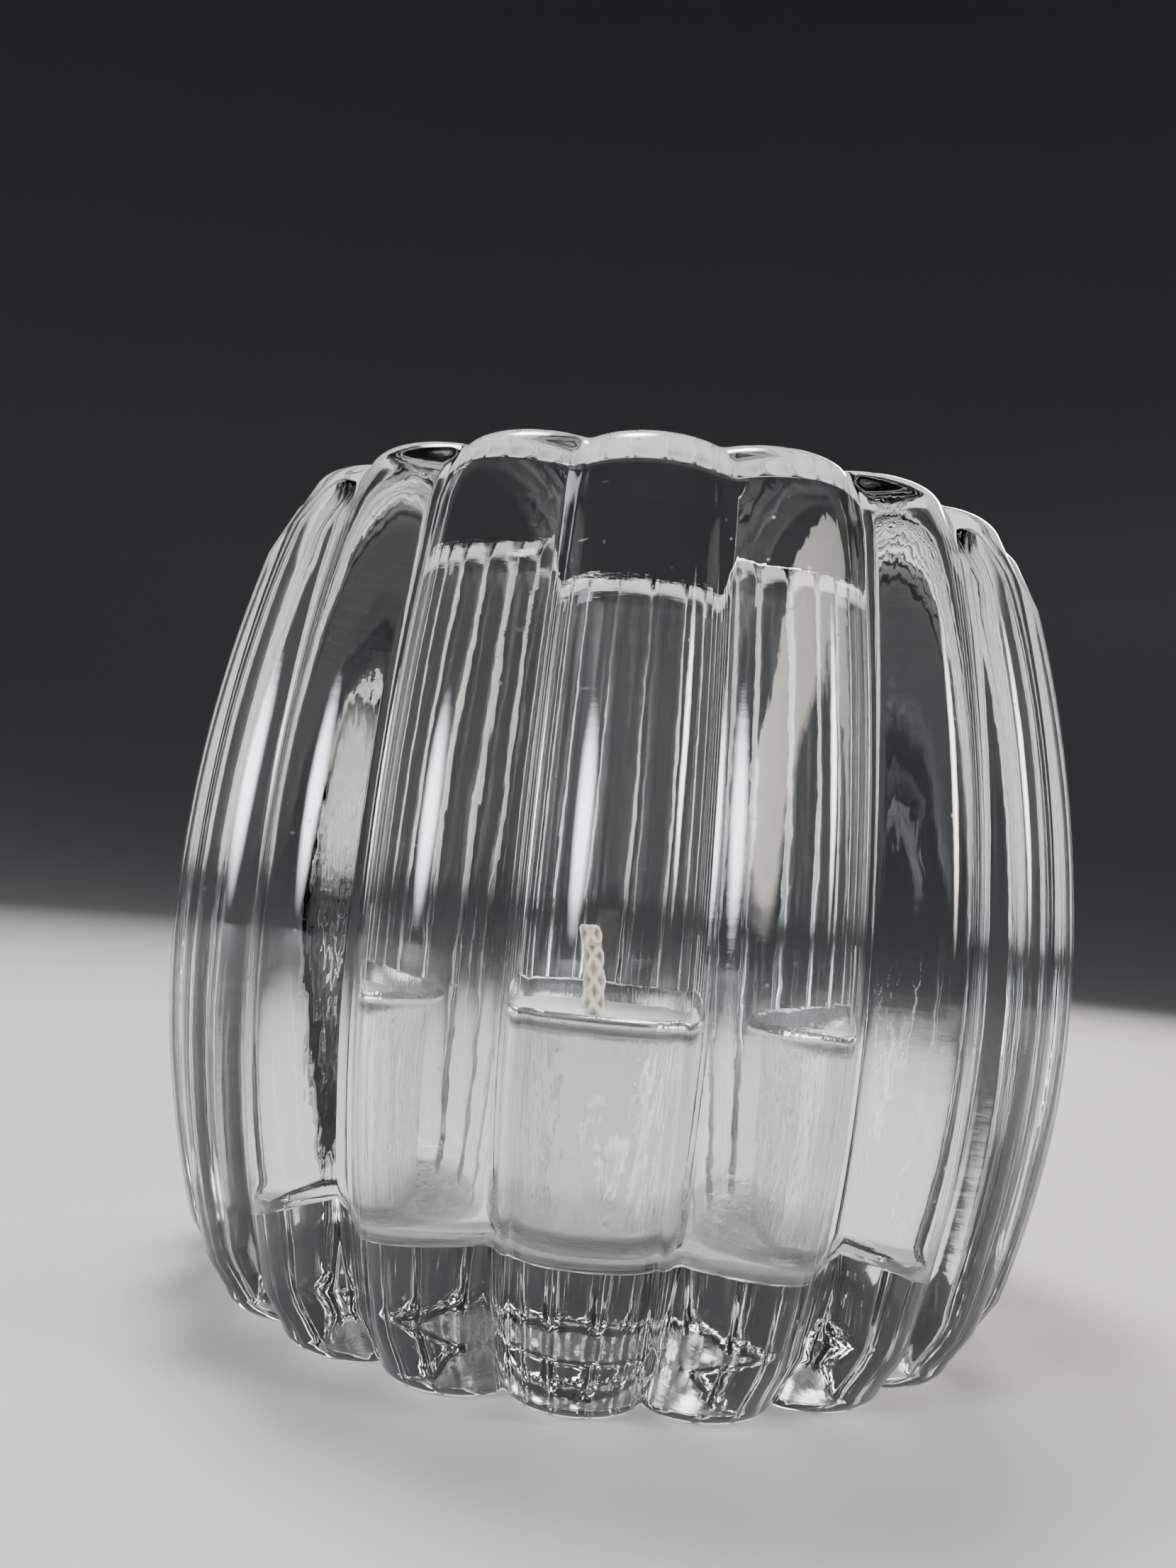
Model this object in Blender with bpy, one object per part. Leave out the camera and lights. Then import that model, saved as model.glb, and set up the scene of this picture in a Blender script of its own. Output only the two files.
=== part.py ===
"""Ribbed glass tealight holder with the tealight that it holds.

Metres, +Z up. The origin is the middle of the holder's flat underside, and +Z is the axis of the
glass. Every piece is a body turned about that axis. The barrel's ribs are pressed into the turned
glass afterwards, with a crest on each of +X, +Y, -X and -Y.
"""
from math import atan2, cos, radians, sin, sqrt, tau

import bmesh
import bpy

# Glass barrel, measured over the crests of its ribs
BELLY_RADIUS = 0.0350
BELLY_HEIGHT = 0.0266
GLASS_HEIGHT = 0.0592
RIM_RADIUS = 0.0299
FOOT_RADIUS = 0.0298
RIM_EDGE = 0.0024          # rounding of the rim's outer edge
RIM_INNER_EDGE = 0.0024
FOOT_EDGE = 0.0025
SIDE_TOP = 0.0544          # the barrel curve runs from here, under the rim's rounding,
SIDE_FOOT = 0.0040         # to here, over the foot's
SIDE_LEAN = 20             # degrees that the side leans in where it meets those roundings

# Ribs
RIB_COUNT = 20
RIB_DEPTH_BELLY = 0.0029   # crest radius less valley radius
RIB_DEPTH_RIM = 0.0018
RIB_DEPTH_FOOT = 0.0030
COLUMNS_PER_RIB = 6

# Round bore that the tealight stands in, widest low down and closing in towards the mouth
BORE_WIDEST_RADIUS = 0.0238
BORE_WIDEST_HEIGHT = 0.0240
BORE_MOUTH_RADIUS = 0.0217
BORE_FLOOR_RADIUS = 0.0230
BORE_FLOOR = 0.0085        # thickness of the solid glass base
BORE_CORNER = 0.0025

# Tealight
GAP = 0.0003               # running gap between neighbouring pieces
CUP_BASE_RADIUS = 0.0180
CUP_MOUTH_RADIUS = 0.0187
CUP_LIP_RADIUS = 0.0192
CUP_HEIGHT = 0.0140
CUP_LIP_HEIGHT = 0.0007
CUP_LIP_CHAMFER = 0.000175
CUP_WALL = 0.00035
CUP_CORNER = 0.0012
WAX_TOP = 0.0120           # height of the wax surface over the cup's underside
WAX_DISH = 0.0006          # how far the wax sinks towards the wick
WAX_CREEP_WIDTH = 0.0012   # where the wax creeps up the cup's wall
WAX_CREEP_HEIGHT = 0.0003
WICK_RADIUS = 0.0009
WICK_LENGTH = 0.0182
WICK_TIP_EDGE = 0.0003
WICK_FOOT_CLEARANCE = 0.0001
SUSTAINER_RADIUS = 0.0065
SUSTAINER_THICKNESS = 0.0004
SUSTAINER_NECK_RADIUS = 0.0017
SUSTAINER_NECK_HEIGHT = 0.0034

# How finely the pieces are divided
SIDE_ROWS = 9
BORE_ROWS = 6
EDGE_STEPS = 3
SMALL_EDGE_STEPS = 2
CUP_COLUMNS = 72
SUSTAINER_COLUMNS = 24
WICK_COLUMNS = 12
SMOOTH_ANGLE = radians(35)

CUP_UNDERSIDE = BORE_FLOOR + GAP
CUP_FLOOR = CUP_UNDERSIDE + CUP_WALL
SUSTAINER_UNDERSIDE = CUP_FLOOR + GAP


def clear_scene():
    for item in list(bpy.data.objects):
        bpy.data.objects.remove(item, do_unlink=True)


def make_material(name, colour, roughness, metallic=0.0, transmission=0.0, ior=1.45):
    material = bpy.data.materials.new(name)
    material.use_nodes = True
    shader = material.node_tree.nodes["Principled BSDF"]
    shader.inputs["Base Color"].default_value = (*colour, 1.0)
    shader.inputs["Roughness"].default_value = roughness
    shader.inputs["Metallic"].default_value = metallic
    shader.inputs["Transmission Weight"].default_value = transmission
    shader.inputs["IOR"].default_value = ior
    return material


def corner(centre_radius, centre_height, size, start, end, steps):
    """Points of a rounded edge, from one angle to another, in degrees from the outward radius."""
    points = []
    for step in range(steps + 1):
        angle = radians(start + (end - start) * step / steps)
        points.append((centre_radius + size * cos(angle), centre_height + size * sin(angle)))
    return points


def turn(outline, columns):
    """Spin an outline of (radius, height) points about Z into one closed mesh."""
    mesh = bmesh.new()
    verts = [mesh.verts.new((radius, 0.0, height)) for radius, height in outline]
    edges = [mesh.edges.new(pair) for pair in zip(verts, verts[1:])]
    if outline[0][0] > 0.0:
        edges.append(mesh.edges.new((verts[-1], verts[0])))
    bmesh.ops.spin(
        mesh, geom=verts + edges, cent=(0, 0, 0), axis=(0, 0, 1),
        angle=tau, steps=columns, use_merge=True,
    )
    bmesh.ops.remove_doubles(mesh, verts=mesh.verts, dist=1e-7)
    bmesh.ops.recalc_face_normals(mesh, faces=mesh.faces)
    return mesh


def finish(mesh, name, material, location_z=0.0):
    """Make an object of the mesh, with its origin on the axis at the given height."""
    bmesh.ops.translate(mesh, verts=mesh.verts, vec=(0.0, 0.0, -location_z))
    data = bpy.data.meshes.new(name)
    mesh.to_mesh(data)
    mesh.free()
    data.materials.append(material)
    data.shade_smooth()
    data.set_sharp_from_angle(angle=SMOOTH_ANGLE)
    piece = bpy.data.objects.new(name, data)
    piece.location.z = location_z
    bpy.context.collection.objects.link(piece)
    return piece


# Glass barrel

def side_share(height):
    """0 at the belly, 1 at the rim and at the foot, with the square of the distance between."""
    if height > BELLY_HEIGHT:
        return ((height - BELLY_HEIGHT) / (GLASS_HEIGHT - BELLY_HEIGHT)) ** 2
    return ((BELLY_HEIGHT - height) / BELLY_HEIGHT) ** 2


def crest_radius(height):
    end_radius = RIM_RADIUS if height > BELLY_HEIGHT else FOOT_RADIUS
    return BELLY_RADIUS - (BELLY_RADIUS - end_radius) * side_share(height)


def rib_depth(height):
    end_depth = RIB_DEPTH_RIM if height > BELLY_HEIGHT else RIB_DEPTH_FOOT
    return RIB_DEPTH_BELLY - (RIB_DEPTH_BELLY - end_depth) * side_share(height)


def bore_radius(height):
    low = BORE_FLOOR + BORE_CORNER
    high = GLASS_HEIGHT - RIM_INNER_EDGE
    if height > BORE_WIDEST_HEIGHT:
        share = (height - BORE_WIDEST_HEIGHT) / (high - BORE_WIDEST_HEIGHT)
        return BORE_WIDEST_RADIUS - (BORE_WIDEST_RADIUS - BORE_MOUTH_RADIUS) * share ** 2
    share = (BORE_WIDEST_HEIGHT - height) / (BORE_WIDEST_HEIGHT - low)
    return BORE_WIDEST_RADIUS - (BORE_WIDEST_RADIUS - BORE_FLOOR_RADIUS) * share ** 2


def rib_drop(angle, crest, depth):
    """How far a rib of round section lies inside its crest circle at an angle about the axis."""
    pitch = tau / RIB_COUNT
    off_crest = (angle + pitch / 2) % pitch - pitch / 2
    half_width = (crest - depth) * sin(pitch / 2)
    rise = crest - (crest - depth) * cos(pitch / 2)
    round_radius = (half_width ** 2 + rise ** 2) / (2 * rise)
    centre = crest - round_radius
    reach = sqrt(round_radius ** 2 - (centre * sin(off_crest)) ** 2)
    return crest - centre * cos(off_crest) - reach


def barrel_outline():
    """From the middle of the bore's floor up the bore, over the rim and down to the underside."""
    floor_corner = corner(
        BORE_FLOOR_RADIUS - BORE_CORNER, BORE_FLOOR + BORE_CORNER, BORE_CORNER, -90, 0, EDGE_STEPS)
    inner_edge = corner(
        BORE_MOUTH_RADIUS + RIM_INNER_EDGE, GLASS_HEIGHT - RIM_INNER_EDGE, RIM_INNER_EDGE,
        180, 90, EDGE_STEPS)
    outer_edge = corner(
        RIM_RADIUS - RIM_EDGE, GLASS_HEIGHT - RIM_EDGE, RIM_EDGE, 90, SIDE_LEAN, EDGE_STEPS)
    foot_edge = corner(
        FOOT_RADIUS - FOOT_EDGE, FOOT_EDGE, FOOT_EDGE, -SIDE_LEAN, -90, EDGE_STEPS)
    bore = []
    for row in range(1, BORE_ROWS):
        height = floor_corner[-1][1] + (inner_edge[0][1] - floor_corner[-1][1]) * row / BORE_ROWS
        bore.append((bore_radius(height), height))
    side = []
    for row in range(SIDE_ROWS + 1):
        height = SIDE_TOP + (SIDE_FOOT - SIDE_TOP) * row / SIDE_ROWS
        side.append((crest_radius(height), height))
    return [
        (0.0, BORE_FLOOR), *floor_corner, *bore, *inner_edge,
        *outer_edge, *side, *foot_edge, (0.0, 0.0),
    ]


def press_ribs(mesh):
    """Draw the outer wall in between the rib crests. The bore and the rim's inner edge stay round."""
    inner_limit = BORE_MOUTH_RADIUS + RIM_INNER_EDGE + GAP
    for vert in mesh.verts:
        radius = vert.co.xy.length
        if radius < inner_limit:
            continue
        angle = atan2(vert.co.y, vert.co.x)
        drop = rib_drop(angle, crest_radius(vert.co.z), rib_depth(vert.co.z))
        vert.co.xy *= (radius - drop) / radius


def make_holder_glass():
    mesh = turn(barrel_outline(), RIB_COUNT * COLUMNS_PER_RIB)
    press_ribs(mesh)
    clear_glass = make_material("clear_glass", (0.96, 0.98, 0.97), 0.02, transmission=1.0, ior=1.52)
    return finish(mesh, "holder_glass", clear_glass)


# Tealight

def cup_wall_radius(height):
    """Outside radius of the cup's tapered wall at a height over its underside."""
    share = (height - CUP_CORNER) / (CUP_HEIGHT - CUP_LIP_HEIGHT - CUP_CORNER)
    return CUP_BASE_RADIUS + (CUP_MOUTH_RADIUS - CUP_BASE_RADIUS) * max(share, 0.0)


def make_cup():
    wall_top = CUP_HEIGHT - CUP_LIP_HEIGHT
    outer_corner = corner(
        CUP_BASE_RADIUS - CUP_CORNER, CUP_CORNER, CUP_CORNER, -90, 0, EDGE_STEPS)
    inner_corner = corner(
        CUP_BASE_RADIUS - CUP_CORNER, CUP_CORNER, CUP_CORNER - CUP_WALL, 0, -90, EDGE_STEPS)
    lip = [
        (cup_wall_radius(wall_top), wall_top),
        (CUP_LIP_RADIUS, wall_top + CUP_LIP_CHAMFER),
        (CUP_LIP_RADIUS, CUP_HEIGHT - CUP_LIP_CHAMFER),
        (CUP_LIP_RADIUS - CUP_LIP_CHAMFER, CUP_HEIGHT),
        (CUP_MOUTH_RADIUS - CUP_WALL + CUP_LIP_CHAMFER, CUP_HEIGHT),
        (cup_wall_radius(wall_top) - CUP_WALL, wall_top),
    ]
    outline = [(0.0, 0.0), *outer_corner, *lip, *inner_corner, (0.0, CUP_WALL)]
    mesh = turn([(radius, CUP_UNDERSIDE + height) for radius, height in outline], CUP_COLUMNS)
    aluminium = make_material("drawn_aluminium", (0.80, 0.81, 0.82), 0.28, metallic=1.0)
    return finish(mesh, "tealight_cup", aluminium, CUP_UNDERSIDE)


def make_wax():
    """The wax is clear of the cup all round, of the sustainer under it and of the wick through it."""
    fit = CUP_WALL + GAP
    disc_room = SUSTAINER_RADIUS + GAP
    neck_room = SUSTAINER_NECK_RADIUS + GAP
    wick_room = WICK_RADIUS + GAP
    disc_top = fit + SUSTAINER_THICKNESS + GAP
    neck_top = fit + SUSTAINER_NECK_HEIGHT + GAP
    side = corner(
        CUP_BASE_RADIUS - CUP_CORNER, CUP_CORNER, CUP_CORNER - fit, -90, 0, SMALL_EDGE_STEPS)
    outline = [
        (wick_room, WAX_TOP - WAX_DISH),
        (wick_room, neck_top),
        (neck_room, neck_top),
        (neck_room, disc_top),
        (disc_room, disc_top),
        (disc_room, fit),
        *side,
        (cup_wall_radius(WAX_TOP) - fit, WAX_TOP),
        (cup_wall_radius(WAX_TOP) - fit - WAX_CREEP_WIDTH, WAX_TOP - WAX_CREEP_HEIGHT),
    ]
    mesh = turn([(radius, CUP_UNDERSIDE + height) for radius, height in outline], CUP_COLUMNS)
    wax = make_material("candle_wax", (0.93, 0.91, 0.86), 0.45)
    return finish(mesh, "tealight_wax", wax, CUP_UNDERSIDE)


def make_sustainer():
    wick_room = WICK_RADIUS + GAP
    outline = [
        (wick_room, 0.0),
        (SUSTAINER_RADIUS, 0.0),
        (SUSTAINER_RADIUS, SUSTAINER_THICKNESS),
        (SUSTAINER_NECK_RADIUS, SUSTAINER_THICKNESS),
        (SUSTAINER_NECK_RADIUS, SUSTAINER_NECK_HEIGHT),
        (wick_room, SUSTAINER_NECK_HEIGHT),
    ]
    mesh = turn(
        [(radius, SUSTAINER_UNDERSIDE + height) for radius, height in outline], SUSTAINER_COLUMNS)
    steel = make_material("plated_steel", (0.62, 0.62, 0.61), 0.35, metallic=1.0)
    return finish(mesh, "wick_sustainer", steel, SUSTAINER_UNDERSIDE)


def make_wick():
    foot = SUSTAINER_UNDERSIDE + WICK_FOOT_CLEARANCE
    tip = foot + WICK_LENGTH
    outline = [
        (0.0, foot),
        (WICK_RADIUS, foot),
        *corner(
            WICK_RADIUS - WICK_TIP_EDGE, tip - WICK_TIP_EDGE, WICK_TIP_EDGE, 0, 90, SMALL_EDGE_STEPS),
        (0.0, tip),
    ]
    mesh = turn(outline, WICK_COLUMNS)
    cotton = make_material("waxed_cotton", (0.90, 0.88, 0.82), 0.80)
    return finish(mesh, "wick", cotton, foot)


def main():
    clear_scene()
    make_holder_glass()
    lift_axis = bpy.data.objects.new("tealight_lift_axis", None)
    lift_axis.empty_display_size = CUP_HEIGHT
    lift_axis.location.z = CUP_UNDERSIDE
    bpy.context.collection.objects.link(lift_axis)
    for piece in (make_cup(), make_wax(), make_sustainer(), make_wick()):
        piece.parent = lift_axis
        piece.location.z -= CUP_UNDERSIDE


main()
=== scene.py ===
from math import atan2, cos, exp, pi, radians, sin, sqrt, tau

import bmesh
import bpy
from mathutils import Matrix, Vector, noise


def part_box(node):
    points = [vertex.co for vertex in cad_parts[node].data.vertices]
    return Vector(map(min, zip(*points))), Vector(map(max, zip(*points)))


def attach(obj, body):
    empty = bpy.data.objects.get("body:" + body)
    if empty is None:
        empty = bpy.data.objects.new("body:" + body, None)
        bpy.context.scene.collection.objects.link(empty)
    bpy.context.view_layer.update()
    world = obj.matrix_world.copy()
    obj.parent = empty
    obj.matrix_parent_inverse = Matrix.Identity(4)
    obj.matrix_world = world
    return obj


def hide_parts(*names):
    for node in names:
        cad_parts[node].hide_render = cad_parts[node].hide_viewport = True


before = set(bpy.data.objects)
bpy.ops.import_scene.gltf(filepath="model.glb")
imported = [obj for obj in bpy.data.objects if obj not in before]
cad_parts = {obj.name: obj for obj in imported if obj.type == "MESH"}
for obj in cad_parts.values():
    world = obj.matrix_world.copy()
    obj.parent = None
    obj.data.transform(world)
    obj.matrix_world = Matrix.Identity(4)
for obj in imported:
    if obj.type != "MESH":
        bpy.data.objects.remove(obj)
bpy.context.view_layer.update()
glassLow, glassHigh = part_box("holder_glass")
cupLow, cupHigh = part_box("tealight_cup")
sustainerLow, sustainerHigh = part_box("wick_sustainer")
wickLow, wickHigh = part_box("wick")
print("frame loaded, glass", round((glassHigh.x - glassLow.x) * 1000, 1), "mm wide")

tiny = 0.00001                  # less than any real step in a shape
weld = 0.0000001                # points closer than this become one


# helpers for shapes

def arc(radius, height, size, start, end, steps):
    # (radius, height) points round an edge, angles in degrees from straight out
    points = []
    for step in range(steps + 1):
        angle = radians(start + (end - start) * step / steps)
        points.append((radius + size * cos(angle), height + size * sin(angle)))
    return points


def between(first, last, steps):
    # straight run of points, without its two ends
    return [
        tuple(first[axis] + (last[axis] - first[axis]) * step / steps for axis in (0, 1))
        for step in range(1, steps)
    ]


def turned(outline, columns, closed=False):
    # a profile spun once round Z
    mesh = bmesh.new()
    verts = [mesh.verts.new((radius, 0, height)) for radius, height in outline]
    edges = [mesh.edges.new(pair) for pair in zip(verts, verts[1:])]
    if closed:
        edges.append(mesh.edges.new((verts[-1], verts[0])))
    bmesh.ops.spin(mesh, geom=verts + edges, cent=(0, 0, 0), axis=(0, 0, 1),
                   angle=tau, steps=columns, use_merge=True)
    bmesh.ops.remove_doubles(mesh, verts=mesh.verts, dist=weld)
    bmesh.ops.recalc_face_normals(mesh, faces=mesh.faces)
    return mesh


def newObject(mesh, name, material):
    data = bpy.data.meshes.new(name)
    mesh.to_mesh(data)
    mesh.free()
    data.shade_smooth()
    data.materials.append(material)
    thing = bpy.data.objects.new(name, data)
    bpy.context.collection.objects.link(thing)
    return thing


def asPiece(mesh, name, material, body, node):
    # a finished piece stands for one CAD node: it hangs from that node's body and the node is hidden
    piece = newObject(mesh, name, material)
    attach(piece, body)
    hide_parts(node)
    print(name, len(piece.data.polygons), "faces")


# helpers for materials

def feed(tree, node, inputs):
    # each input gets a fixed value, or a link from the socket given for it
    for key, value in inputs.items():
        if isinstance(value, bpy.types.NodeSocket):
            tree.links.new(value, node.inputs[key])
        else:
            node.inputs[key].default_value = value


def addNode(tree, kind, inputs, **settings):
    node = tree.nodes.new(kind)
    for name, value in settings.items():
        setattr(node, name, value)
    feed(tree, node, inputs)
    return node


def worked(tree, operation, *values):
    # a sum, product or the like of sockets and numbers
    return addNode(tree, "ShaderNodeMath", dict(enumerate(values)), operation=operation).outputs["Value"]


def scaled(tree, value, low, high, valueFrom=0.0, valueTo=1.0, curve="LINEAR"):
    # a value brought to the range from low to high
    inputs = {"Value": value, "From Min": valueFrom, "From Max": valueTo, "To Min": low, "To Max": high}
    return addNode(tree, "ShaderNodeMapRange", inputs, interpolation_type=curve).outputs["Result"]


def blended(tree, share, first, second):
    # the colour that lies the given share of the way from the first to the second
    inputs = {"Factor": share, "A": first, "B": second}
    return addNode(tree, "ShaderNodeMix", inputs, data_type="RGBA").outputs["Result"]


def cloudy(tree, place, scale, detail):
    inputs = {"Vector": place, "Scale": scale, "Detail": detail}
    return addNode(tree, "ShaderNodeTexNoise", inputs).outputs["Fac"]


def bumped(tree, height, depth, strength=1.0):
    inputs = {"Height": height, "Distance": depth, "Strength": strength}
    return addNode(tree, "ShaderNodeBump", inputs).outputs["Normal"]


def effect(tree, group, place, values):
    # one of the shared groups below, with this material's values
    return addNode(tree, "ShaderNodeGroup", {"Vector": place, **values}, node_tree=group).outputs[0]


def painted(tree, name):
    # a value that the mesh carries on its points
    return addNode(tree, "ShaderNodeAttribute", {}, attribute_name=name).outputs["Fac"]


def newMaterial(name):
    # with its main shader, and the place on the piece that patterns read
    material = bpy.data.materials.new(name)
    material.use_nodes = True
    tree = material.node_tree
    place = tree.nodes.new("ShaderNodeTexCoord").outputs["Object"]
    return material, tree, tree.nodes["Principled BSDF"], place


# surface effects that several materials share

def newGroup(name, defaults, output):
    # takes a Vector and the named values, and gives one value back
    group = bpy.data.node_groups.new(name, "ShaderNodeTree")
    group.interface.new_socket("Vector", in_out="INPUT", socket_type="NodeSocketVector")
    for label, value in defaults.items():
        socket = group.interface.new_socket(label, in_out="INPUT", socket_type="NodeSocketFloat")
        socket.default_value = value
    group.interface.new_socket(output, in_out="OUTPUT", socket_type="NodeSocketFloat")
    return group, group.nodes.new("NodeGroupInput").outputs, group.nodes.new("NodeGroupOutput")


handling = {
    "smearDetail": 6.0,
    "smearTwist": 1.2,
    "smearFrom": 0.56,          # the cloudy value at which a smear starts to show
    "smearFull": 0.82,          # and at which it is full
    "speckScale": 7.0,          # how much finer the specks are than the smears
    "speckEdge": 0.085,         # distances from a speck's middle, in cells
    "speckFull": 0.045,
}


def buildHandlingMarks():
    # wiped-on haze with small specks in it, from 0 clean to 1
    group, given, result = newGroup(
        "handlingMarks", {"Scale": 70.0, "Smears": 0.5, "Specks": 0.5}, "Haze")
    smear = addNode(group, "ShaderNodeTexNoise", {
        "Vector": given["Vector"], "Scale": given["Scale"],
        "Detail": handling["smearDetail"], "Distortion": handling["smearTwist"]})
    smears = scaled(group, smear.outputs["Fac"], 0.0, 1.0, handling["smearFrom"], handling["smearFull"])
    finer = worked(group, "MULTIPLY", given["Scale"], handling["speckScale"])
    speck = addNode(group, "ShaderNodeTexVoronoi", {"Vector": given["Vector"], "Scale": finer})
    specks = scaled(group, speck.outputs["Distance"], 0.0, 1.0, handling["speckEdge"], handling["speckFull"])
    haze = worked(group, "MAXIMUM",
                  worked(group, "MULTIPLY", smears, given["Smears"]),
                  worked(group, "MULTIPLY", specks, given["Specks"]))
    feed(group, result, {"Haze": haze})
    return group


rippling = {
    "broadDetail": 1.0,
    "fineDetail": 3.0,
}


def buildMouldRipple():
    # broad waves and a finer skin, both drawn out along Z by the Draw value
    group, given, result = newGroup(
        "mouldRipple", {"Broad": 80.0, "Fine": 600.0, "FineShare": 0.2, "Draw": 0.3}, "Height")
    stretch = addNode(group, "ShaderNodeCombineXYZ", {"X": 1.0, "Y": 1.0, "Z": given["Draw"]})
    drawn = addNode(group, "ShaderNodeVectorMath", {0: given["Vector"], 1: stretch.outputs["Vector"]},
                    operation="MULTIPLY").outputs["Vector"]
    broad = cloudy(group, drawn, given["Broad"], rippling["broadDetail"])
    fine = cloudy(group, drawn, given["Fine"], rippling["fineDetail"])
    height = worked(group, "ADD", broad, worked(group, "MULTIPLY", fine, given["FineShare"]))
    feed(group, result, {"Height": height})
    return group


handlingMarks = buildHandlingMarks()
mouldRipple = buildMouldRipple()
print("shared effects made")


# the ribbed glass

glass = {
    "ribs": 20,
    "bellyHeight": 0.0266,
    "rimRadius": 0.0299,        # over the crests
    "footRadius": 0.0298,
    "bellyDepth": 0.0029,       # crest to valley
    "rimDepth": 0.0018,
    "footDepth": 0.0030,
    "rimEdge": 0.0024,
    "rimInnerEdge": 0.0024,
    "footEdge": 0.0025,
    "edgeLean": 20,             # degrees from upright where a rounded edge meets the side
    "sideTop": 2.0,             # where the side starts and ends, in edge radii from rim and foot
    "sideFoot": 1.6,
    "mouthRadius": 0.0217,
    "boreRadius": 0.0238,       # the bore swells a little, as the outside does
    "boreHeight": 0.0240,       # where it is widest
    "floorRadius": 0.0230,
    "floorHeight": 0.0085,
    "floorCorner": 0.0025,
    "valleyRound": 0.10,        # share of a rib's half width that softens its valley
    "unevenness": 0.00006,      # slow waves in the walls
    "unevenScale": 55,
    "ripple": 0.000012,         # and quicker ones, drawn out along the ribs
    "rippleAcross": 420,
    "rippleAlong": 110,
    "trueEnds": 0.0005,         # near the top and the underside the walls stay true
    "dustyFloor": 0.5,          # how satin the bore's floor is beside the scuffed underside
    "dustyDepth": 0.0005,
    "columnsPerRib": 26,
    "sideRows": 44,
    "boreRows": 30,
    "cornerRows": 10,
    "edgeRows": 9,
    "floorRings": 8,
    "undersideRings": 6,
}


def buildGlass():
    top = glassHigh.z
    belly = glassHigh.x
    inner = glass["mouthRadius"] + glass["rimInnerEdge"]
    outer = glass["rimRadius"] - glass["rimEdge"]
    boreFoot = glass["floorHeight"] + glass["floorCorner"]
    boreTop = top - glass["rimInnerEdge"]
    halfRib = tau / glass["ribs"] / 2

    def share(height):  # 0 at the belly, 1 at the rim and the foot
        if height > glass["bellyHeight"]:
            return ((height - glass["bellyHeight"]) / (top - glass["bellyHeight"])) ** 2
        return ((glass["bellyHeight"] - height) / glass["bellyHeight"]) ** 2

    def crestAt(height):
        end = glass["rimRadius"] if height > glass["bellyHeight"] else glass["footRadius"]
        return belly - (belly - end) * share(height)

    def depthAt(height):
        end = glass["rimDepth"] if height > glass["bellyHeight"] else glass["footDepth"]
        return glass["bellyDepth"] - (glass["bellyDepth"] - end) * share(height)

    def ribDrop(angle, crest, depth):  # how far the surface lies inside the crest's radius
        off = abs((angle + halfRib) % (2 * halfRib) - halfRib)
        soft = glass["valleyRound"] * halfRib
        start = halfRib - soft
        if off > start:  # a small fillet where two ribs meet
            off = start + (off - start) - (off - start) ** 2 / (2 * soft)
        halfWidth = (crest - depth) * sin(halfRib)
        rise = crest - (crest - depth) * cos(halfRib)
        ribRadius = (halfWidth ** 2 + rise ** 2) / (2 * rise)
        centre = crest - ribRadius
        return crest - centre * cos(off) - sqrt(ribRadius ** 2 - (centre * sin(off)) ** 2)

    def boreAt(height):
        if height > glass["boreHeight"]:
            end, far = glass["mouthRadius"], boreTop
        else:
            end, far = glass["floorRadius"], boreFoot
        reach = (height - glass["boreHeight"]) / (far - glass["boreHeight"])
        return glass["boreRadius"] - (glass["boreRadius"] - end) * reach ** 2

    floorCorner = arc(glass["floorRadius"] - glass["floorCorner"], boreFoot,
                      glass["floorCorner"], -90, 0, glass["cornerRows"])
    innerEdge = arc(inner, boreTop, glass["rimInnerEdge"], 180, 90, glass["edgeRows"])
    outerEdge = arc(outer, top - glass["rimEdge"], glass["rimEdge"],
                    90, glass["edgeLean"], glass["edgeRows"])
    footEdge = arc(glass["footRadius"] - glass["footEdge"], glass["footEdge"], glass["footEdge"],
                   -glass["edgeLean"], -90, glass["edgeRows"])
    sideTop = top - glass["sideTop"] * glass["rimEdge"]
    sideFoot = glass["sideFoot"] * glass["footEdge"]
    side = []
    for row in range(glass["sideRows"] + 1):
        height = sideTop + (sideFoot - sideTop) * row / glass["sideRows"]
        side.append((crestAt(height), height))
    outline = [(0, glass["floorHeight"])]
    outline += between(outline[0], floorCorner[0], glass["floorRings"])
    outline += floorCorner
    bore = between(floorCorner[-1], innerEdge[0], glass["boreRows"])
    outline += [(boreAt(height), height) for radius, height in bore]
    outline += innerEdge + outerEdge + side + footEdge
    outline += between(footEdge[-1], (0, 0), glass["undersideRings"])
    outline += [(0, 0)]
    mesh = turned(outline, glass["ribs"] * glass["columnsPerRib"])

    satin = mesh.verts.layers.float.new("satin")
    for vert in mesh.verts:
        radius = vert.co.xy.length
        if vert.co.z < tiny:
            vert[satin] = 1
        elif radius < glass["floorRadius"] and vert.co.z < glass["floorHeight"] + glass["dustyDepth"]:
            vert[satin] = glass["dustyFloor"]
        if radius < tiny:
            continue
        if radius > (inner + outer) / 2:  # the ribs are on the outside only
            height = min(max(vert.co.z, 0), top)
            angle = atan2(vert.co.y, vert.co.x)
            drop = ribDrop(angle, crestAt(height), depthAt(height))
            vert.co.xy *= (radius - drop) / radius
        if glass["trueEnds"] < vert.co.z < top - glass["trueEnds"]:  # pressed walls are never quite true
            wander = noise.noise(vert.co * glass["unevenScale"]) * glass["unevenness"]
            drawnOut = Vector((vert.co.x * glass["rippleAcross"], vert.co.y * glass["rippleAcross"],
                               vert.co.z * glass["rippleAlong"]))
            wander += noise.noise(drawnOut) * glass["ripple"]
            vert.co.xy *= 1 + wander / radius
    return mesh


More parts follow.
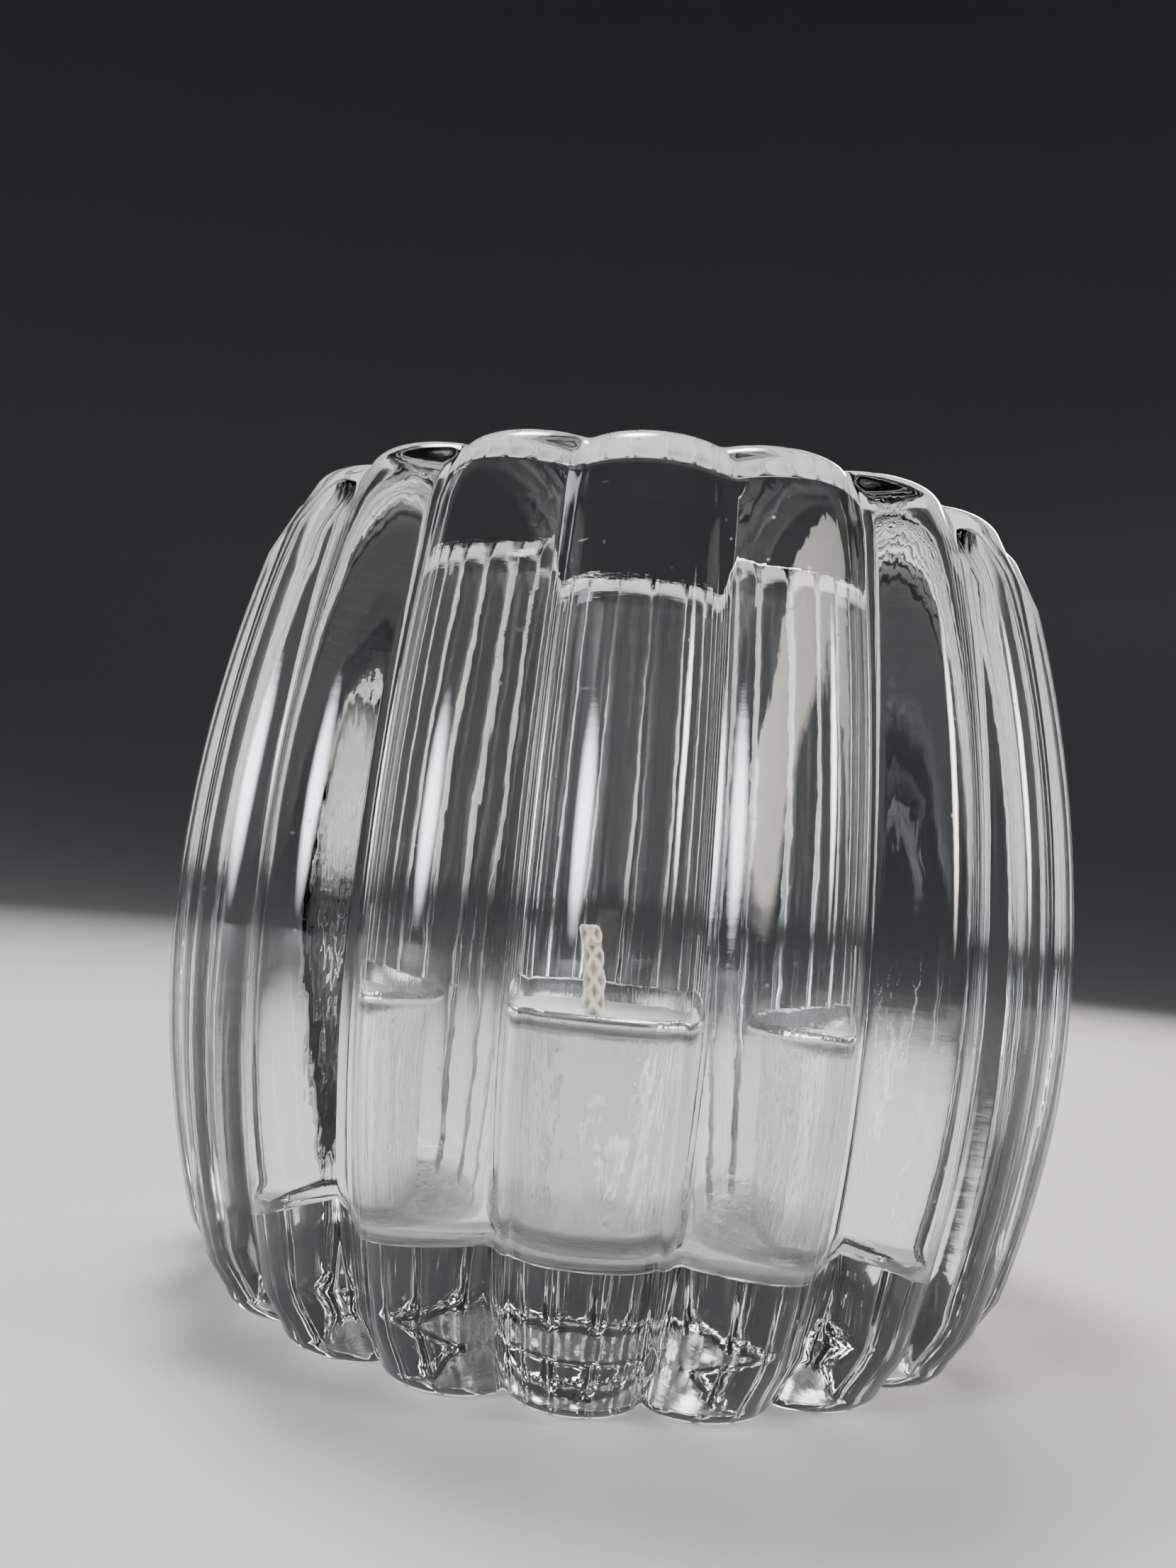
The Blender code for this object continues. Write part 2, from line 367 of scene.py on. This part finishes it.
clearGlass = {
    "colour": (0.988, 0.995, 0.993, 1),
    "dustColour": (0.80, 0.81, 0.81, 1),
    "refraction": 1.52,
    "absorbColour": (0.84, 0.96, 0.93, 1),
    "absorbDensity": 4.0,       # for each metre
    "hazeRough": 0.26,          # roughness where it has been handled
    "scuffRough": 0.24,         # on the underside that it stands on
    "marks": {"Scale": 70.0, "Smears": 0.65, "Specks": 0.9},
    "waves": {"Broad": 85.0, "Fine": 620.0, "FineShare": 0.10, "Draw": 0.22},
    "waveDepth": 0.00035,
    "waveStrength": 0.35,
    "wrinkles": {"Broad": 210.0, "Fine": 800.0, "FineShare": 0.35, "Draw": 4.0},
    "wrinkleDepth": 0.10,       # chill wrinkles across the ribs, beside the waves' depth
    "patchScale": 42.0,         # the patches that they come in
    "patchDetail": 2.0,
    "patchFrom": 0.45,
    "patchFull": 0.70,
    "pebbleScale": 750.0,       # the underside and the bore's floor are slightly pebbled
    "pebbleDetail": 1.0,
    "pebbleDepth": 1.7,         # beside the waves' depth
}


def glassMaterial():
    material, tree, shader, place = newMaterial("clearPressedGlass")
    haze = effect(tree, handlingMarks, place, clearGlass["marks"])
    satin = painted(tree, "satin")
    rough = worked(tree, "MAXIMUM",
                   scaled(tree, haze, 0.0, clearGlass["hazeRough"]),
                   scaled(tree, satin, 0.0, clearGlass["scuffRough"]))
    patch = cloudy(tree, place, clearGlass["patchScale"], clearGlass["patchDetail"])
    patches = scaled(tree, patch, 0.0, clearGlass["wrinkleDepth"],
                     clearGlass["patchFrom"], clearGlass["patchFull"])
    wrinkles = effect(tree, mouldRipple, place, clearGlass["wrinkles"])
    waves = effect(tree, mouldRipple, place, clearGlass["waves"])
    relief = worked(tree, "MULTIPLY_ADD", wrinkles, patches, waves)
    pebbles = cloudy(tree, place, clearGlass["pebbleScale"], clearGlass["pebbleDetail"])
    pebbled = scaled(tree, satin, 0.0, clearGlass["pebbleDepth"])
    relief = worked(tree, "MULTIPLY_ADD", pebbles, pebbled, relief)
    feed(tree, shader, {
        "Base Color": blended(tree, haze, clearGlass["colour"], clearGlass["dustColour"]),
        "Roughness": rough,
        "IOR": clearGlass["refraction"],
        "Transmission Weight": 1.0,
        "Normal": bumped(tree, relief, clearGlass["waveDepth"], clearGlass["waveStrength"]),
    })
    depth = addNode(tree, "ShaderNodeVolumeAbsorption",
                    {"Color": clearGlass["absorbColour"], "Density": clearGlass["absorbDensity"]})
    feed(tree, tree.nodes["Material Output"], {"Volume": depth.outputs["Volume"]})
    return material


asPiece(buildGlass(), "ribbedGlass", glassMaterial(), "holder", "holder_glass")


# the tealight's cup

cup = {
    "wall": 0.00022,
    "corner": 0.0012,
    "baseInset": 0.0010,        # the base is narrower than the mouth
    "bead": 0.00042,            # radius of the rolled lip
    "rollFrom": -150,           # degrees that the lip rolls through
    "rollTo": 140,
    "ringRadius": 0.0118,       # raised ring stamped in the base
    "ringWidth": 0.0012,
    "ringRise": 0.0004,
    "dents": 0.00005,
    "dentScale": 160,
    "flutes": 60,               # fine upright gathers from drawing the foil
    "fluteDepth": 0.00007,
    "columns": 360,
    "baseRings": 24,
    "cornerRows": 8,
    "wallRows": 14,
    "rollRows": 16,
}

cupMouth = cupHigh.x - 2 * cup["bead"]
cupBase = cupMouth - cup["baseInset"]
cupFlat = cupBase - cup["corner"]
wallFoot = cupLow.z + cup["corner"]
wallTop = cupHigh.z - 2 * cup["bead"]


def buildCup():
    foot = cupLow.z
    wall = cup["wall"]
    bead = cup["bead"]
    under = []
    for step in range(cup["baseRings"] + 1):
        radius = cupFlat * step / cup["baseRings"]
        hump = exp(-((radius - cup["ringRadius"]) / cup["ringWidth"]) ** 2)
        under.append((radius, foot + cup["ringRise"] * hump))
    outer = arc(cupFlat, wallFoot, cup["corner"], -90, 0, cup["cornerRows"])[1:]
    outer += between(outer[-1], (cupMouth, wallTop), cup["wallRows"])
    lip = arc(cupMouth + bead, cupHigh.z - bead, bead, cup["rollFrom"], cup["rollTo"], cup["rollRows"])
    inner = between((cupMouth - wall, wallTop), (cupBase - wall, wallFoot), cup["wallRows"])
    inner += arc(cupFlat, wallFoot, cup["corner"] - wall, 0, -90, cup["cornerRows"])
    inside = [(radius, height + wall) for radius, height in reversed(under)]
    mesh = turned(under + outer + lip + inner + inside[1:], cup["columns"])
    for vert in mesh.verts:
        radius = vert.co.xy.length
        if radius > cupFlat:  # gathers up the wall, and small knocks
            climb = min(max((vert.co.z - wallFoot) / (wallTop - 2 * bead - wallFoot), 0), 1)
            gather = cos(cup["flutes"] * atan2(vert.co.y, vert.co.x)) * sin(climb * pi)
            knock = noise.noise(vert.co * cup["dentScale"]) * cup["dents"]
            vert.co.xy *= 1 + (gather * cup["fluteDepth"] + knock) / radius
    return mesh


foil = {
    "brightColour": (0.80, 0.805, 0.81, 1),
    "dullColour": (0.62, 0.62, 0.62, 1),
    "brightRough": 0.20,
    "dullRough": 0.42,
    "marks": {"Scale": 160.0, "Smears": 0.8, "Specks": 0.2},
    "drawLines": {"Broad": 300.0, "Fine": 2600.0, "FineShare": 0.5, "Draw": 0.04},
    "drawDepth": 0.0002,
}


def foilMaterial():
    material, tree, shader, place = newMaterial("drawnFoil")
    dull = effect(tree, handlingMarks, place, foil["marks"])
    lines = effect(tree, mouldRipple, place, foil["drawLines"])
    feed(tree, shader, {
        "Base Color": blended(tree, dull, foil["brightColour"], foil["dullColour"]),
        "Metallic": 1.0,
        "Roughness": scaled(tree, dull, foil["brightRough"], foil["dullRough"]),
        "Normal": bumped(tree, lines, foil["drawDepth"]),
    })
    return material


# the wax

wax = {
    "fill": 0.0120,             # height of the wax surface over the cup's foot
    "climb": 0.00045,           # how far it creeps up the foil
    "climbReach": 0.0006,       # and over what width
    "wickClimb": 0.0005,        # the same at the wick
    "wickClimbReach": 0.0007,
    "dish": 0.0003,             # sinks a little towards the middle
    "sideGap": 0.00002,
    "footGap": 0.0004,
    "discGap": 0.0001,          # round the sustainer's disc and neck
    "discOver": 0.0003,
    "neckOver": 0.0002,
    "cornerFrom": -60,          # degrees at which its side starts up the cup's rounded corner
    "unevenness": 0.00007,
    "unevenScale": 190,
    "unevenSkin": 0.001,        # how far below the surface that reaches
    "columns": 200,
    "topRings": 60,
    "sideRows": 10,
    "cornerRows": 6,
}


def buildWax():
    level = cupLow.z + wax["fill"]
    wall = cup["wall"] + wax["sideGap"]
    bottom = cupLow.z + wall + wax["footGap"]
    hole = wickHigh.x + sustainer["wickGap"]
    neck = sustainer["neckRadius"] + wax["discGap"]
    neckTop = sustainerHigh.z + wax["neckOver"]
    disc = sustainerHigh.x + wax["discGap"]
    discTop = sustainerHigh.z - sustainer["neckHeight"] + wax["discOver"]
    rim = cupBase + cup["baseInset"] * (level - wallFoot) / (wallTop - wallFoot) - wall

    def surfaceAt(radius):
        swell = wax["climb"] * exp((radius - rim) / wax["climbReach"])
        pull = wax["wickClimb"] * exp((hole - radius) / wax["wickClimbReach"])
        return level + swell + pull - wax["dish"] * (1 - (radius / rim) ** 2)

    side = arc(cupFlat, wallFoot, cup["corner"] - wall, wax["cornerFrom"], 0, wax["cornerRows"])
    surface = []
    for step in range(wax["topRings"] + 1):
        radius = rim + (hole - rim) * (step / wax["topRings"])
        surface.append((radius, surfaceAt(radius)))
    outline = [(hole, neckTop), (neck, neckTop), (neck, discTop), (disc, discTop), (disc, bottom)]
    outline += side + between(side[-1], surface[0], wax["sideRows"]) + surface
    mesh = turned(outline, wax["columns"], closed=True)
    for vert in mesh.verts:
        if vert.co.z > level - wax["unevenSkin"]:
            vert.co.z += noise.noise(vert.co * wax["unevenScale"]) * wax["unevenness"]
    return mesh


waxFinish = {
    "creamColour": (0.90, 0.885, 0.85, 1),
    "whiteColour": (0.96, 0.95, 0.925, 1),
    "cloudScale": 260.0,
    "cloudDetail": 4.0,
    "smoothRough": 0.34,
    "bloomRough": 0.58,
    "ripple": {"Broad": 240.0, "Fine": 1500.0, "FineShare": 0.45, "Draw": 0.8},
    "rippleDepth": 0.0002,
    "rippleStrength": 0.45,
    "glow": 0.8,                # share of the light that passes through the skin
    "glowRadius": (1.0, 0.85, 0.65),
    "glowScale": 0.004,
    "gloss": 0.45,
    "refraction": 1.44,
}


def waxMaterial():
    material, tree, shader, place = newMaterial("candleWax")
    cloud = cloudy(tree, place, waxFinish["cloudScale"], waxFinish["cloudDetail"])
    ripple = effect(tree, mouldRipple, place, waxFinish["ripple"])
    feed(tree, shader, {
        "Base Color": blended(tree, cloud, waxFinish["creamColour"], waxFinish["whiteColour"]),
        "Roughness": scaled(tree, cloud, waxFinish["smoothRough"], waxFinish["bloomRough"]),
        "IOR": waxFinish["refraction"],
        "Specular IOR Level": waxFinish["gloss"],
        "Subsurface Weight": waxFinish["glow"],
        "Subsurface Radius": waxFinish["glowRadius"],
        "Subsurface Scale": waxFinish["glowScale"],
        "Normal": bumped(tree, ripple, waxFinish["rippleDepth"], waxFinish["rippleStrength"]),
    })
    return material


# the wick's sustainer

sustainer = {
    "plate": 0.00028,           # thickness of the sheet
    "wickGap": 0.00005,
    "neckRadius": 0.0015,
    "neckHeight": 0.0030,
    "shoulder": 0.0005,         # radius where the neck leaves the disc
    "dish": 0.0003,             # rise of the ring pressed in the disc
    "dishFrom": 0.55,           # its inner side, top and outer side, in disc radii
    "dishTop": 0.72,
    "dishTo": 0.88,
    "crimp": ((0, 0.0014), (0.0003, 0.0009), (0.0001, 0.0003)),  # how far in, how far below the top
    "lipDrop": 0.0002,
    "rimTurn": (-60, 60),       # degrees that the disc's rim and the neck's lip round through
    "lipTurn": (20, 160),
    "columns": 64,
    "edgeRows": 4,
}


def buildSustainer():
    foot, top = sustainerLow.z, sustainerHigh.z
    edge = sustainerHigh.x
    hole = wickHigh.x + sustainer["wickGap"]
    neck = sustainer["neckRadius"]
    plate = sustainer["plate"]
    bend = sustainer["shoulder"]
    rows = sustainer["edgeRows"]
    dished = [(edge * sustainer["dishFrom"], foot),
              (edge * sustainer["dishTop"], foot + sustainer["dish"]),
              (edge * sustainer["dishTo"], foot)]
    under = [(hole, foot + plate)] + dished + [(edge - plate / 2, foot)]
    rim = arc(edge - plate / 2, foot + plate / 2, plate / 2, *sustainer["rimTurn"], rows)
    over = [(edge - plate / 2, foot + plate)]
    over += [(radius, height + plate) for radius, height in reversed(dished)]
    shoulder = arc(neck + bend, foot + plate + bend, bend, -90, -180, rows)
    crimp = [(neck - pinch, top - below) for pinch, below in sustainer["crimp"]]
    lip = arc((neck + hole) / 2, top - sustainer["lipDrop"], (neck - hole) / 2,
              *sustainer["lipTurn"], rows)
    return turned(under + rim + over + shoulder + crimp + lip, sustainer["columns"], closed=True)


steel = {
    "colour": (0.64, 0.64, 0.63, 1),
    "brightRough": 0.25,
    "dullRough": 0.5,
    "marks": {"Scale": 400.0, "Smears": 0.9, "Specks": 0.3},
}


def steelMaterial():
    material, tree, shader, place = newMaterial("tinnedSteel")
    dull = effect(tree, handlingMarks, place, steel["marks"])
    feed(tree, shader, {
        "Base Color": steel["colour"],
        "Metallic": 1.0,
        "Roughness": scaled(tree, dull, steel["brightRough"], steel["dullRough"]),
    })
    return material


# the wick

wick = {
    "lay": 0.0032,              # height in which a strand goes once round
    "relief": 0.00024,          # how far the strands stand out of the grooves
    "reliefFrom": 0.75,         # the strand value that lies on the plain radius
    "fuzz": 0.00005,
    "fuzzScale": 1800,
    "grooveShadeGain": 3,            # how quickly the painted shade deepens into the grooves
    "lean": 0.0009,             # how far the tip has tipped over
    "leanAside": 0.35,          # and what share of that it leans to the side
    "coreShare": 0.5,           # within this share of the radius the two ends are plain
    "footShare": 0.6,           # the foot tapers to this share of the radius
    "footTaper": 0.0002,
    "tipShare": 0.45,           # rounding of the tip, in radii
    "tipDent": 0.0001,
    "columns": 72,
    "rows": 190,
    "tipRows": 6,
}


def buildWick():
    foot, tip = wickLow.z, wickHigh.z
    edge = wickHigh.x - wick["relief"] / 2
    tipRound = edge * wick["tipShare"]
    start = (edge, foot + wick["footTaper"])
    outline = [(0, foot), (edge * wick["footShare"], foot), start]
    outline += between(start, (edge, tip - tipRound), wick["rows"])
    outline += arc(edge - tipRound, tip - tipRound, tipRound, 0, 90, wick["tipRows"])
    outline += [(0, tip - wick["tipDent"])]
    mesh = turned(outline, wick["columns"])
    # a mesh value that carries the painted shade in the grooves
    grooveShade = mesh.verts.layers.float.new("grooveShade")
    freeFrom = cupLow.z + wax["fill"]
    for vert in mesh.verts:
        radius = vert.co.xy.length
        angle = 2 * atan2(vert.co.y, vert.co.x)
        climb = tau * (vert.co.z - foot) / wick["lay"]
        strand = max(abs(cos(angle + climb)), abs(cos(angle - climb)))  # 1 along the middle of a strand
        # painted shade, from 0 on a strand to 1 down in the groove between strands
        vert[grooveShade] = min(wick["grooveShadeGain"] * (1 - strand), 1)
        if radius > edge * wick["coreShare"]:
            lift = wick["relief"] * 2 * (strand - wick["reliefFrom"])
            lift += noise.noise(vert.co * wick["fuzzScale"]) * wick["fuzz"]
            vert.co.xy *= 1 + lift / radius
        free = max(vert.co.z - freeFrom, 0) / (tip - freeFrom)
        vert.co.x += wick["lean"] * free ** 2
        vert.co.y -= wick["lean"] * wick["leanAside"] * free ** 2
    return mesh


cotton = {
    "darkColour": (0.72, 0.67, 0.56, 1),
    "lightColour": (0.93, 0.91, 0.85, 1),
    # painted shade for the grooves between the strands
    "grooveShadeColour": (0.42, 0.36, 0.27, 1),
    "fibreScale": 3500.0,
    "fibreDetail": 5.0,
    "fibreDepth": 0.0001,
    "fibreStrength": 0.8,
    "rough": 0.72,
    "glow": 0.15,
    "glowScale": 0.0005,
}


def cottonMaterial():
    material, tree, shader, place = newMaterial("waxedCotton")
    fibre = cloudy(tree, place, cotton["fibreScale"], cotton["fibreDetail"])
    strand = blended(tree, fibre, cotton["darkColour"], cotton["lightColour"])
    feed(tree, shader, {
        # the grooves between strands are darkened with painted shade
        "Base Color": blended(tree, painted(tree, "grooveShade"), strand, cotton["grooveShadeColour"]),
        "Roughness": cotton["rough"],
        "Subsurface Weight": cotton["glow"],
        "Subsurface Scale": cotton["glowScale"],
        "Normal": bumped(tree, fibre, cotton["fibreDepth"], cotton["fibreStrength"]),
    })
    return material


asPiece(buildCup(), "foilCup", foilMaterial(), "tealight", "tealight_cup")
asPiece(buildWax(), "waxFill", waxMaterial(), "tealight", "tealight_wax")
asPiece(buildSustainer(), "wickSustainer", steelMaterial(), "tealight", "wick_sustainer")
asPiece(buildWick(), "braidedWick", cottonMaterial(), "tealight", "wick")


# the floor, the light and the camera

studio = {
    "floorRadius": 0.62,
    "sweep": 0.30,              # radius of the curve from floor to wall
    "sweepRows": 16,
    "wallHeight": 1.15,
    "columns": 96,
    "drop": 0.00015,            # the floor lies just under the glass
    "paleColour": (0.58, 0.575, 0.565, 1),
    "greyColour": (0.060, 0.062, 0.068, 1),
    "paintedFalloffFrom": 0.15,           # distances from the glass between which it turns grey, a painted falloff of light
    "paintedFalloffTo": 0.95,
    "rough": 0.7,
    "skyColour": (0.90, 0.95, 1.0, 1),
    "skyStrength": 0.05,
    "bounces": 24,              # light crosses many walls in the ribs and the base
}


def sweepMaterial():
    material, tree, shader, place = newMaterial("studioSweep")
    reach = addNode(tree, "ShaderNodeVectorMath", {0: place}, operation="LENGTH").outputs["Value"]
    # painted falloff of light, from pale near the glass to dark grey further off; that dark grey is also the
    # tone chosen for the wall
    fade = scaled(tree, reach, 0.0, 1.0, studio["paintedFalloffFrom"], studio["paintedFalloffTo"], "SMOOTHERSTEP")
    feed(tree, shader, {
        "Base Color": blended(tree, fade, studio["paleColour"], studio["greyColour"]),
        "Roughness": studio["rough"],
    })
    return material


def buildStage():
    sweep = studio["sweep"]
    outline = [(0, 0), (studio["floorRadius"], 0)]
    outline += arc(studio["floorRadius"], sweep, sweep, -90, 0, studio["sweepRows"])[1:]
    outline += [(studio["floorRadius"] + sweep, studio["wallHeight"])]
    mesh = turned([(radius, height - studio["drop"]) for radius, height in outline], studio["columns"])
    bmesh.ops.reverse_faces(mesh, faces=mesh.faces)
    newObject(mesh, "studioFloor", sweepMaterial())


def buildSky():
    world = bpy.data.worlds.new("studioSky")
    bpy.context.scene.world = world
    world.use_nodes = True
    feed(world.node_tree, world.node_tree.nodes["Background"],
         {"Color": studio["skyColour"], "Strength": studio["skyStrength"]})


softboxes = {                   # place, size, power and colour
    "windowBox": ((-0.36, -0.36, 0.125), (0.24, 0.24), 14.0, (0.88, 0.94, 1.0)),
    "topBox": ((-0.09, 0.08, 0.50), (0.22, 0.22), 11.0, (1.0, 1.0, 1.0)),
    "rightBox": ((0.34, -0.12, 0.14), (0.07, 0.24), 4.0, (1.0, 0.93, 0.84)),
    "backBox": ((0.16, 0.40, 0.26), (0.24, 0.14), 4.5, (1.0, 0.97, 0.92)),
}

boxFade = {                     # distances from the middle of the cloth, in widths
    "dark": 0.5,
    "full": 0.1,
}


def softenBox(light):
    # the cloth front of a softbox glows from its middle, at 0.5 across and 0.5 up, and fades to its edges
    light.use_nodes = True
    tree = light.node_tree
    across = tree.nodes.new("ShaderNodeNewGeometry").outputs["Parametric"]
    fromMiddle = addNode(tree, "ShaderNodeVectorMath", {0: across, 1: (0.5, 0.5, 0)},
                         operation="SUBTRACT").outputs["Vector"]
    reach = addNode(tree, "ShaderNodeVectorMath", {0: fromMiddle}, operation="LENGTH").outputs["Value"]
    fade = scaled(tree, reach, 0.0, 1.0, boxFade["dark"], boxFade["full"], "SMOOTHSTEP")
    feed(tree, tree.nodes["Emission"], {"Strength": fade})


def addSoftboxes():
    for name, (place, size, power, colour) in softboxes.items():
        light = bpy.data.lights.new(name, "AREA")
        light.shape = "RECTANGLE"
        light.size, light.size_y = size
        light.energy = power
        light.color = colour
        softenBox(light)
        lamp = bpy.data.objects.new(name, light)
        lamp.location = place
        lamp.rotation_mode = "QUATERNION"
        aim = Vector((0, 0, glassHigh.z / 2)) - Vector(place)  # at the middle of the glass
        lamp.rotation_quaternion = aim.to_track_quat("-Z", "Y")
        lamp.visible_camera = False
        bpy.context.collection.objects.link(lamp)


view = {
    "distance": 2.861,          # camera to axis, in belly radii
    "height": 0.857,
    "yaw": 0.0365,              # radians
    "pitch": -0.094,
    "roll": 0.0905,
    "crestTurn": -0.0138,       # the nearest rib crest, off the camera's line
    "lens": 27.5,               # millimetres, as is the long side below
    "longSide": 36,
    "nearest": 0.005,
    "farthest": 20,
}


def buildCamera():
    camera = bpy.data.cameras.new("frontView")
    camera.lens = view["lens"]
    camera.sensor_width = view["longSide"]
    camera.clip_start = view["nearest"]
    camera.clip_end = view["farthest"]
    stand = bpy.data.objects.new("frontView", camera)
    bpy.context.collection.objects.link(stand)
    yaw, pitch, roll = view["yaw"], view["pitch"], view["roll"]
    right = Vector((cos(yaw), sin(yaw), 0))
    ahead = Vector((-sin(yaw) * cos(pitch), cos(yaw) * cos(pitch), -sin(pitch)))
    upward = right.cross(ahead)
    rolledRight = right * cos(roll) + upward * sin(roll)
    rolledUp = upward * cos(roll) - right * sin(roll)
    turn = Matrix((rolledRight, rolledUp, -ahead)).transposed()
    place = Vector((0, -view["distance"], view["height"])) * glassHigh.x
    swing = Matrix.Rotation(-view["crestTurn"], 3, "Z")
    stand.matrix_world = Matrix.Translation(swing @ place) @ (swing @ turn).to_4x4()
    bpy.context.scene.camera = stand


buildStage()
buildSky()
addSoftboxes()
buildCamera()
bpy.context.scene.cycles.max_bounces = studio["bounces"]
bpy.context.scene.cycles.transmission_bounces = studio["bounces"]
print("stage, light and camera set")
